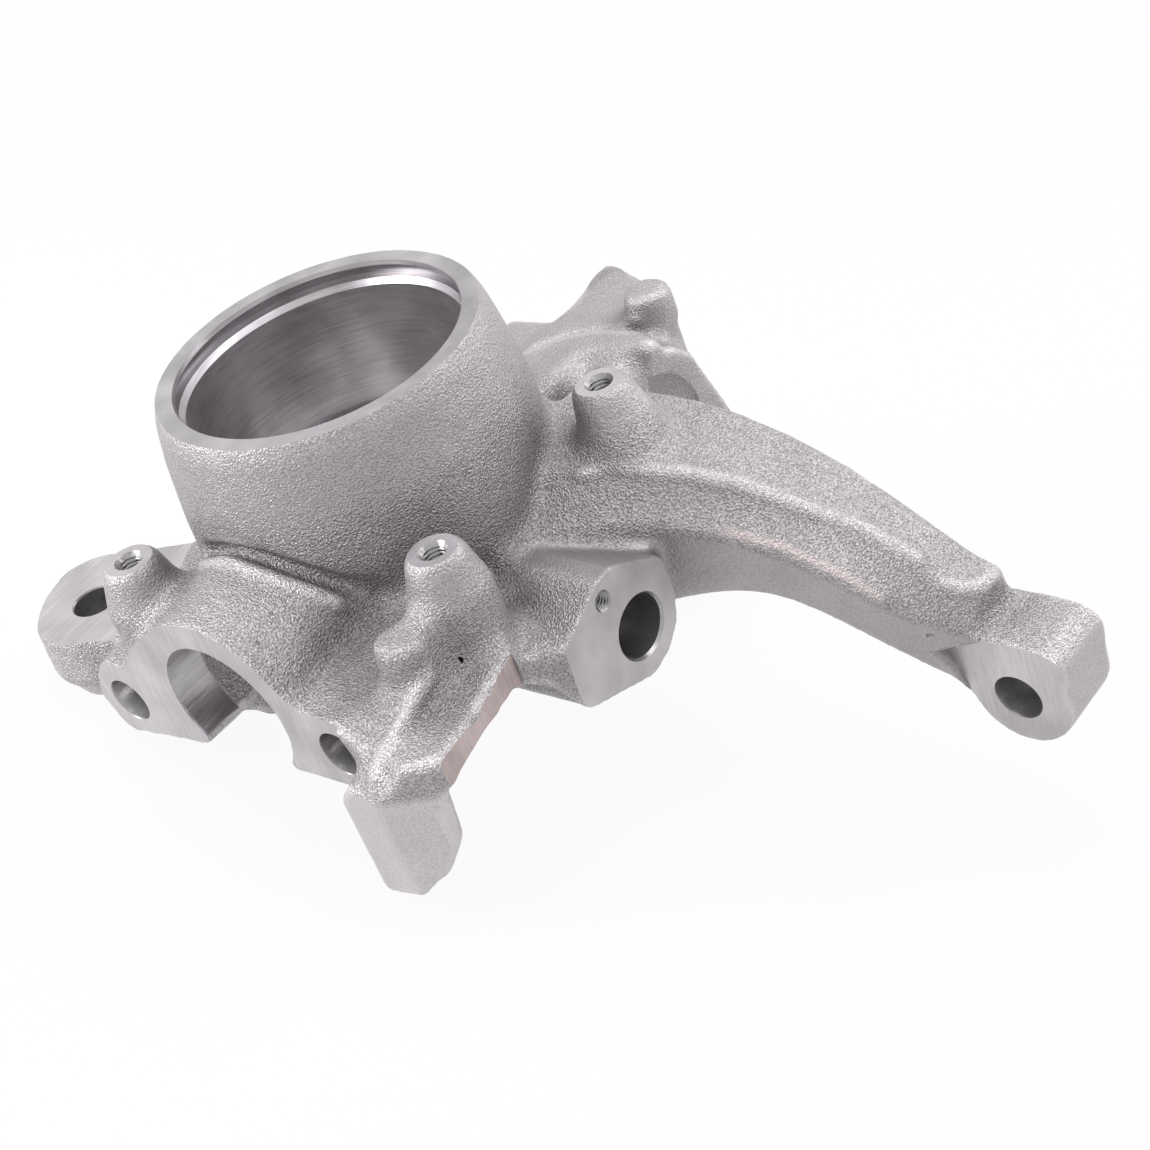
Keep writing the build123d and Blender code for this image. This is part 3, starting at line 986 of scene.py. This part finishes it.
    def label(self, piece: bpy.types.Object) -> None:
        """Gives each face the slot of the surface that made it, and makes its edges crisp."""
        mesh = piece.data
        n = len(mesh.polygons)
        c = vectors(mesh.polygons, "center") / MM
        nv = vectors(mesh.polygons, "normal")
        slot = np.full(n, Surface.CAST.value)
        radius = np.hypot(c[:, 0], c[:, 1])
        flat = 0.03

        def plane(axis: Axis, value: float) -> np.ndarray:
            """Faces that lie in a plane across an axis."""
            i = axis.value
            return (np.abs(c[:, i] - value) < flat) & (np.abs(nv[:, i]) > 0.995)

        slot[plane(Axis.Y, -77.5) & (c[:, 2] < 0)] = Surface.MILLED.value
        slot[plane(Axis.Y, 46.0) & (c[:, 0] > 140)] = Surface.MILLED.value
        slot[plane(Axis.Y, 68.0) & (c[:, 0] > 150)] = Surface.MILLED.value
        slot[plane(Axis.X, 86.5)] = Surface.MILLED.value
        slot[plane(Axis.Z, -38.5) & (c[:, 0] < -50)] = Surface.MILLED.value
        slot[plane(Axis.X, 33.0) & (np.hypot(c[:, 1] - 77, c[:, 2] + 59) < 22.2)] = Surface.MILLED.value
        slot[plane(Axis.Z, 27.0)] = Surface.TURNED.value
        ground = np.abs((c[:, 0] - 83.5) * 39.0 + (c[:, 1] + 77.6) * 5.9) / 39.44 < 0.05
        ground &= (c[:, 1] > -77.7) & (c[:, 1] < -38.5) & (c[:, 2] < -33) & (c[:, 2] > -50)
        slot[ground] = Surface.GROUND.value
        slot[(radius < 44.6) & (c[:, 2] > -35.6) & (c[:, 2] < 27.1)] = Surface.TURNED.value
        recess = (np.hypot(c[:, 0] - 2.5, c[:, 2] + 39.9) < 22.8) & (c[:, 1] < -57.2) & (c[:, 1] > -77.6)
        slot[recess & (c[:, 1] < -62.0) & ~plane(Axis.Y, -77.5)] = Surface.TURNED.value
        for spot in self.boss_spots():
            away = np.hypot(c[:, 0] - spot[0], c[:, 1] - spot[1])
            slot[(away < 5.1) & (c[:, 2] < -2.9) & (c[:, 2] > -19.2)] = Surface.DRILLED.value
            slot[(away < 9.7) & plane(Axis.Z, -3.0)] = Surface.MILLED.value
        for axis, (a, b), reach, low, high in self.hole_walls:
            i, j = (n for n in range(3) if n != axis.value)
            run = c[:, axis.value]
            inside = (np.hypot(c[:, i] - a, c[:, j] - b) < reach) & (run > low) & (run < high)
            slot[inside & (np.abs(nv[:, axis.value]) < 0.9)] = Surface.DRILLED.value
        mesh.polygons.foreach_set("material_index", slot.astype(np.int32))
        mesh.polygons.foreach_set("use_smooth", np.ones(n, bool))
        shape = bmesh.new()
        shape.from_mesh(mesh)
        for edge in shape.edges:
            if len(edge.link_faces) == 2:
                one, two = edge.link_faces
                cast = one.material_index == 0 and two.material_index == 0
                border = one.material_index != two.material_index
                edge.smooth = cast or not (border or edge.calc_face_angle(0.0) > math.radians(32))
        shape.to_mesh(mesh)
        shape.free()
        mesh.update()


def new_finish(name: str) -> tuple[bpy.types.Material, bpy.types.NodeTree, bpy.types.Node]:
    """A new material with its node tree and its main shader."""
    material = bpy.data.materials.new(name)
    material.use_nodes = True
    return material, material.node_tree, material.node_tree.nodes["Principled BSDF"]


def mixed(
    tree: bpy.types.NodeTree, one: object, two: object, share: bpy.types.NodeSocket
) -> bpy.types.NodeSocket:
    """Mixes two colours, each a plain colour or a socket."""
    node = tree.nodes.new("ShaderNodeMix")
    node.data_type = "RGBA"
    for key, colour in (("A", one), ("B", two)):
        if isinstance(colour, bpy.types.NodeSocket):
            tree.links.new(colour, node.inputs[key])
        else:
            node.inputs[key].default_value = (*colour, 1)
    tree.links.new(share, node.inputs["Factor"])
    return node.outputs["Result"]


def bump(
    tree: bpy.types.NodeTree, shader: bpy.types.Node, height: bpy.types.NodeSocket, depth: float
) -> None:
    """Tilts a shader's normal by a height."""
    node = tree.nodes.new("ShaderNodeBump")
    node.inputs["Distance"].default_value = depth
    tree.links.new(height, node.inputs["Height"])
    tree.links.new(node.outputs["Normal"], shader.inputs["Normal"])


def camera_rays(tree: bpy.types.NodeTree) -> bpy.types.NodeSocket:
    """1 for rays that the camera or a reflection sends, 0 for the rest."""
    path = tree.nodes.new("ShaderNodeLightPath")
    return NodeGroups.maths(tree, "MAXIMUM", path.outputs["Is Camera Ray"], path.outputs["Is Glossy Ray"])


def mixed_shader(tree: bpy.types.NodeTree, *parts: bpy.types.NodeSocket) -> bpy.types.NodeSocket:
    """Mixes two shaders; parts are the share, the first and the second."""
    node = tree.nodes.new("ShaderNodeMixShader")
    for i, part in enumerate(parts):
        tree.links.new(part, node.inputs[i])
    return node.outputs[0]


@dataclass(frozen=True)
class CastFinish:
    """The grey skin of the casting, with its sandy grain, and with painted shade and painted light in its
    tone.
    """

    colour: tuple[float, float, float] = (0.61, 0.577, 0.594)
    dark: tuple[float, float, float] = (0.06, 0.057, 0.06)
    flash: tuple[float, float, float] = (0.54, 0.475, 0.475)
    grain: float = 0.00062
    depth: float = 0.0006

    def build(self, name: str, groups: "NodeGroups") -> bpy.types.Material:
        """Makes the material.

        Args:
            name: the material's name.
            groups: the shared node groups.

        Returns:
            The material.
        """
        material, tree, shader = new_finish(name)
        shader.inputs["Metallic"].default_value = 0.85
        spot = tree.nodes.new("ShaderNodeTexCoord")
        grain = tree.nodes.new("ShaderNodeGroup")
        grain.node_tree = groups.cast_grain
        grain.inputs["Grain"].default_value = self.grain
        tree.links.new(spot.outputs["Object"], grain.inputs["Vector"])
        marks = {}
        # Besides smoothness and flash, these marks carry painted shade and painted light.
        for name in ("Hollow", "Crowd_shade", "Edge", "Smooth", "Painted_light", "Patch", "Flash"):
            marks[name] = tree.nodes.new("ShaderNodeAttribute").outputs["Fac"]
            marks[name].node.attribute_name = name.lower()
            if name in grain.inputs:
                tree.links.new(marks[name], grain.inputs[name])
        skin = mixed(tree, self.dark, self.colour, grain.outputs["Tone"])
        tree.links.new(mixed(tree, skin, self.flash, marks["Flash"]), shader.inputs["Base Color"])
        tree.links.new(grain.outputs["Gloss"], shader.inputs["Roughness"])
        bump(tree, shader, grain.outputs["Height"], self.depth)
        return material


@dataclass(frozen=True)
class MachinedFinish:
    """Bare iron off a cutter, with fine marks along one direction."""

    colour: tuple[float, float, float] = (0.62, 0.59, 0.62)
    dark: tuple[float, float, float] = (0.40, 0.38, 0.40)
    stretch: tuple[float, float, float] = (1.0, 1.0, 1.0)
    roughness: float = 0.38
    depth: float = 0.00003

    def build(self, name: str, groups: "NodeGroups") -> bpy.types.Material:
        """Makes the material.

        Args:
            name: the material's name.
            groups: the shared node groups.

        Returns:
            The material.
        """
        material, tree, shader = new_finish(name)
        shader.inputs["Metallic"].default_value = 0.8
        shader.inputs["Roughness"].default_value = self.roughness
        spot = tree.nodes.new("ShaderNodeTexCoord")
        marks = tree.nodes.new("ShaderNodeGroup")
        marks.node_tree = groups.tool_marks
        marks.inputs["Stretch"].default_value = self.stretch
        tree.links.new(spot.outputs["Object"], marks.inputs["Vector"])
        bare = mixed(tree, self.dark, self.colour, marks.outputs["Tone"])
        tree.links.new(bare, shader.inputs["Base Color"])
        bump(tree, shader, marks.outputs["Height"], self.depth)
        return material


class NodeGroups:
    """The shader node groups that several finishes share."""

    # Painted shade and painted light: each mark's tone where it is 0 and where it is 1.
    painted_light_and_shade = (("Hollow", 1.0, 0.7), ("Crowd_shade", 1.02, 0.7), ("Painted_light", 1.0, 1.4), ("Patch", 1.0, 0.62))
    painted_edge_highlight = 0.35
    whole_tone = 0.715

    def __init__(self) -> None:
        """Builds both groups."""
        self.cast_grain = self.build_cast_grain()
        self.tool_marks = self.build_tool_marks()

    @staticmethod
    def socket(tree: bpy.types.NodeTree, name: str, way: str, kind: str) -> None:
        """Adds a socket to a group.

        Args:
            tree: the group.
            name: the socket's name.
            way: INPUT or OUTPUT.
            kind: the socket's type, such as Float.
        """
        tree.interface.new_socket(name=name, in_out=way, socket_type="NodeSocket" + kind)

    @staticmethod
    def maths(tree: bpy.types.NodeTree, kind: str, *values: object) -> bpy.types.NodeSocket:
        """A Math node.

        Args:
            tree: where it goes.
            kind: its operation.
            values: numbers or sockets that it works on.

        Returns:
            Its result.
        """
        node = tree.nodes.new("ShaderNodeMath")
        node.operation = kind
        for i, value in enumerate(values):
            if isinstance(value, bpy.types.NodeSocket):
                tree.links.new(value, node.inputs[i])
            else:
                node.inputs[i].default_value = value
        return node.outputs[0]

    @staticmethod
    def ranged(
        tree: bpy.types.NodeTree, value: bpy.types.NodeSocket, *limits: float
    ) -> bpy.types.NodeSocket:
        """Maps a value from one range to another.

        Args:
            tree: where the node goes.
            value: what is mapped.
            limits: from low, from high, to low, to high.

        Returns:
            The mapped value.
        """
        node = tree.nodes.new("ShaderNodeMapRange")
        for name, limit in zip(("From Min", "From Max", "To Min", "To Max"), limits):
            node.inputs[name].default_value = limit
        tree.links.new(value, node.inputs["Value"])
        return node.outputs["Result"]

    @staticmethod
    def noise(
        tree: bpy.types.NodeTree,
        vector: bpy.types.NodeSocket,
        scale: object,
        detail: float,
        roughness: float = 0.6,
    ) -> bpy.types.NodeSocket:
        """A noise texture.

        Args:
            tree: where the node goes.
            vector: the position it reads.
            scale: a number, or the socket that gives it.
            detail: how many finer layers it has.
            roughness: how strong the finer layers are.

        Returns:
            Its value.
        """
        node = tree.nodes.new("ShaderNodeTexNoise")
        node.inputs["Detail"].default_value = detail
        node.inputs["Roughness"].default_value = roughness
        tree.links.new(vector, node.inputs["Vector"])
        if isinstance(scale, bpy.types.NodeSocket):
            tree.links.new(scale, node.inputs["Scale"])
        else:
            node.inputs["Scale"].default_value = scale
        return node.outputs["Fac"]

    def build_cast_grain(self) -> bpy.types.NodeTree:
        """Sand grain: relief, tone and gloss, quieter where the skin is smooth; its tone carries painted
        shade in hollows, crowded places and soft spots, and painted light on paler skin and edges.
        """
        tree = bpy.data.node_groups.new("cast_grain", "ShaderNodeTree")
        self.socket(tree, "Vector", "INPUT", "Vector")
        for name in ("Grain", "Hollow", "Crowd_shade", "Edge", "Smooth", "Painted_light", "Patch"):
            self.socket(tree, name, "INPUT", "Float")
        for name in ("Height", "Tone", "Gloss"):
            self.socket(tree, name, "OUTPUT", "Float")
        given = tree.nodes.new("NodeGroupInput").outputs
        result = tree.nodes.new("NodeGroupOutput").inputs
        rate = self.maths(tree, "DIVIDE", 1.0, given["Grain"])
        fine = self.noise(tree, given["Vector"], rate, 1.0)
        pebbles = tree.nodes.new("ShaderNodeTexVoronoi")
        tree.links.new(given["Vector"], pebbles.inputs["Vector"])
        tree.links.new(rate, pebbles.inputs["Scale"])
        fine = self.maths(tree, "MULTIPLY_ADD", pebbles.outputs["Distance"], -0.45, fine)
        fine = self.maths(tree, "ADD", fine, 0.2)
        broad = self.noise(tree, given["Vector"], 60.0, 3.0)
        rough = self.ranged(tree, given["Smooth"], 0.0, 1.0, 1.0, 0.3)
        tree.links.new(self.maths(tree, "MULTIPLY", fine, rough), result["Height"])
        speckle = self.ranged(tree, fine, 0.3, 0.65, -0.34, 0.16)
        quiet = self.maths(tree, "MULTIPLY_ADD", speckle, rough, 0.9)
        patch = self.ranged(tree, broad, 0.3, 0.7, 0.92, 1.04)
        tone = self.maths(tree, "MULTIPLY", quiet, patch)
        # Painted shade darkens hollows, crowded places and soft spots; painted light makes the paler skin
        # brighter.
        for name, unmarked, marked in self.painted_light_and_shade:
            share = self.ranged(tree, given[name], 0.0, 1.0, unmarked, marked)
            tone = self.maths(tree, "MULTIPLY", tone, share)
        # Painted highlight on outside edges.
        tone = self.maths(tree, "MULTIPLY_ADD", given["Edge"], self.painted_edge_highlight, tone)
        tone = self.maths(tree, "MULTIPLY", tone, self.whole_tone)
        tree.links.new(tone, result["Tone"])
        tree.links.new(self.ranged(tree, fine, 0.3, 0.7, 0.56, 0.4), result["Gloss"])
        return tree

    def build_tool_marks(self) -> bpy.types.NodeTree:
        """Cutter marks: noise that is drawn out along the direction of the cut."""
        tree = bpy.data.node_groups.new("tool_marks", "ShaderNodeTree")
        self.socket(tree, "Vector", "INPUT", "Vector")
        self.socket(tree, "Stretch", "INPUT", "Vector")
        for name in ("Height", "Tone"):
            self.socket(tree, name, "OUTPUT", "Float")
        given = tree.nodes.new("NodeGroupInput").outputs
        result = tree.nodes.new("NodeGroupOutput").inputs
        scaled = tree.nodes.new("ShaderNodeVectorMath")
        scaled.operation = "MULTIPLY"
        tree.links.new(given["Vector"], scaled.inputs[0])
        tree.links.new(given["Stretch"], scaled.inputs[1])
        lines = self.noise(tree, scaled.outputs[0], 1400.0, 2.0, 0.5)
        haze = self.noise(tree, given["Vector"], 60.0, 3.0, 0.5)
        both = self.maths(tree, "MULTIPLY_ADD", lines, 0.6, haze)
        tree.links.new(lines, result["Height"])
        tree.links.new(self.ranged(tree, both, 0.6, 1.0, 0.0, 1.0), result["Tone"])
        return tree


@dataclass
class Knuckle:
    """The steering knuckle: one casting, machined and finished."""

    casting: Casting = field(default_factory=Casting)
    machining: Machining = field(default_factory=Machining)

    def build(self, source: bpy.types.Object) -> bpy.types.Object:
        """Makes the piece that stands for the CAD node.

        Args:
            source: the CAD node.

        Returns:
            The finished piece.
        """
        piece = bpy.data.objects.new("knuckle_casting", self.casting.build(source))
        bpy.context.scene.collection.objects.link(piece)
        self.machining.run(piece)
        self.dress(piece)
        self.machining.label(piece)
        self.machining.shade(piece, self.casting.fields)
        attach(piece, "root")
        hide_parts(NODE)
        return piece

    def dress(self, piece: bpy.types.Object) -> None:
        """Gives the piece its five finishes, in the order of Surface."""
        groups = NodeGroups()
        piece.data.materials.clear()
        finishes = (
            ("cast_skin", CastFinish()),
            ("turned_iron", MachinedFinish((0.52, 0.5, 0.52), (0.34, 0.325, 0.34), (0.05, 0.05, 1.0),
            0.3)),
            ("milled_iron", MachinedFinish((0.59, 0.565, 0.588), (0.43, 0.41, 0.43), (1.0, 0.05, 0.05))),
            ("drilled_iron", MachinedFinish((0.42, 0.41, 0.415), (0.26, 0.25, 0.255), roughness=0.3)),
            ("ground_iron", MachinedFinish((0.55, 0.46, 0.45), (0.40, 0.33, 0.32), (0.3, 1.0, 0.05),
            0.45)),
        )
        for name, finish in finishes:
            piece.data.materials.append(finish.build(name, groups))


@dataclass
class Studio:
    """Camera, lamps, world and table."""

    focal_pixels: float = 2450.0
    image_pixels: float = 1150.0
    sensor: float = 36.0
    place: tuple[float, float, float] = (487.2, -350.3, 336.2)
    right: tuple[float, float, float] = (0.75532, 0.58126, -0.30271)
    down: tuple[float, float, float] = (0.16946, -0.61942, -0.76655)
    ahead: tuple[float, float, float] = (-0.63307, 0.52769, -0.56636)
    up: tuple[float, float, float] = (0.211, 0.244, 0.946)
    target: tuple[float, float, float] = (40.0, 15.0, -40.0)
    world_level: float = 0.42
    table_glow: float = 0.92
    table_side: float = 3.0

    def build_camera(self) -> bpy.types.Object:
        """The camera that took the photograph.

        Returns:
            The camera object.
        """
        data = bpy.data.cameras.new("camera")
        data.sensor_width = self.sensor
        data.lens = self.focal_pixels / self.image_pixels * self.sensor
        data.clip_start = 0.01
        data.clip_end = 20.0
        camera = bpy.data.objects.new("camera", data)
        columns = (Vector(self.right), -Vector(self.down), -Vector(self.ahead))
        turn = Matrix([[column[i] for column in columns] for i in range(3)])
        camera.matrix_world = Matrix.Translation(Vector(self.place) * MM) @ turn.to_4x4()
        bpy.context.scene.collection.objects.link(camera)
        bpy.context.scene.camera = camera
        return camera

    def build_world(self) -> None:
        """White for the camera and for reflections, a soft grey dome as light."""
        world = bpy.data.worlds.new("studio")
        bpy.context.scene.world = world
        world.use_nodes = True
        tree = world.node_tree
        tree.nodes.clear()
        out = tree.nodes.new("ShaderNodeOutputWorld")
        dome = tree.nodes.new("ShaderNodeBackground")
        dome.inputs["Color"].default_value = (1, 1, 1, 1)
        dome.inputs["Strength"].default_value = self.world_level
        white = tree.nodes.new("ShaderNodeBackground")
        white.inputs["Color"].default_value = (1, 1, 1, 1)
        white.inputs["Strength"].default_value = 1.0
        light = mixed_shader(tree, camera_rays(tree), dome.outputs[0], white.outputs[0])
        tree.links.new(light, out.inputs["Surface"])

    def build_lamp(self, name: str, towards: Vector, distance: float, size: float, watts: float) -> None:
        """A square soft lamp that looks at the part.

        Args:
            name: the lamp's name.
            towards: direction from the part to the lamp.
            distance: how far away it stands, in metres.
            size: its side in metres.
            watts: its power.
        """
        data = bpy.data.lights.new(name, "AREA")
        data.shape = "SQUARE"
        data.size = size
        data.energy = watts
        lamp = bpy.data.objects.new(name, data)
        way = towards.normalized()
        lamp.location = Vector(self.target) * MM + way * distance
        lamp.rotation_euler = (-way).to_track_quat("-Z", "Y").to_euler()
        bpy.context.scene.collection.objects.link(lamp)

    def build_lamps(self) -> None:
        """A large soft lamp above and smaller ones at the sides."""
        up = Vector(self.up).normalized()
        right = Vector(self.right)
        ahead = Vector(self.ahead)
        level = (ahead - up * ahead.dot(up)).normalized()
        self.build_lamp("top_lamp", up * 1.0 + level * 0.1, 0.9, 0.9, 6.0)
        self.build_lamp("left_lamp", up * 0.3 - right * 0.95 - level * 0.15, 1.1, 0.55, 10.0)
        self.build_lamp("right_lamp", up * 0.5 + right * 0.8 + level * 0.4, 1.1, 0.7, 4.0)

    def build_table(self, piece: bpy.types.Object) -> bpy.types.Object:
        """A white table under the part, as it lies in the photograph.

        Args:
            piece: the part, whose lowest point the table meets.

        Returns:
            The table.
        """
        up = Vector(self.up).normalized()
        low = float((vectors(piece.data.vertices, "co") @ np.array(up)).min())
        mesh = bpy.data.meshes.new("table")
        side = self.table_side
        corners = [(-side, -side, 0), (side, -side, 0), (side, side, 0), (-side, side, 0)]
        mesh.from_pydata(corners, [], [(0, 1, 2, 3)])
        table = bpy.data.objects.new("table", mesh)
        table.matrix_world = Matrix.Translation(up * low) @ up.to_track_quat("Z", "Y").to_matrix().to_4x4()
        bpy.context.scene.collection.objects.link(table)
        table.data.materials.append(self.table_finish())
        return table

    def table_finish(self) -> bpy.types.Material:
        """White for the camera, so only a faint shadow shows, and clear from below.

        Returns:
            The material.
        """
        material, tree, shader = new_finish("table_white")
        shader.inputs["Base Color"].default_value = (0.8, 0.795, 0.81, 1)
        shader.inputs["Roughness"].default_value = 0.7
        shader.inputs["Specular IOR Level"].default_value = 0.1
        glow = tree.nodes.new("ShaderNodeEmission")
        glow.inputs["Color"].default_value = (1, 1, 1, 1)
        clear = tree.nodes.new("ShaderNodeBsdfTransparent")
        share = NodeGroups.maths(tree, "MULTIPLY", camera_rays(tree), self.table_glow)
        seen = mixed_shader(tree, share, shader.outputs[0], glow.outputs[0])
        side = tree.nodes.new("ShaderNodeNewGeometry")
        either = mixed_shader(tree, side.outputs["Backfacing"], seen, clear.outputs[0])
        out = tree.nodes["Material Output"]
        tree.links.new(either, out.inputs["Surface"])
        return material


def main() -> None:
    """Builds the scene and reports each piece."""
    logging.basicConfig(level=logging.INFO, format="%(name)s: %(message)s")
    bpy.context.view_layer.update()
    bpy.context.scene.view_settings.view_transform = "Standard"
    studio = Studio()
    studio.build_camera()
    studio.build_world()
    studio.build_lamps()
    piece = Knuckle().build(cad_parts[NODE])
    LOG.info("knuckle: %d faces", len(piece.data.polygons))
    studio.build_table(piece)


if __name__ == "__main__":
    main()
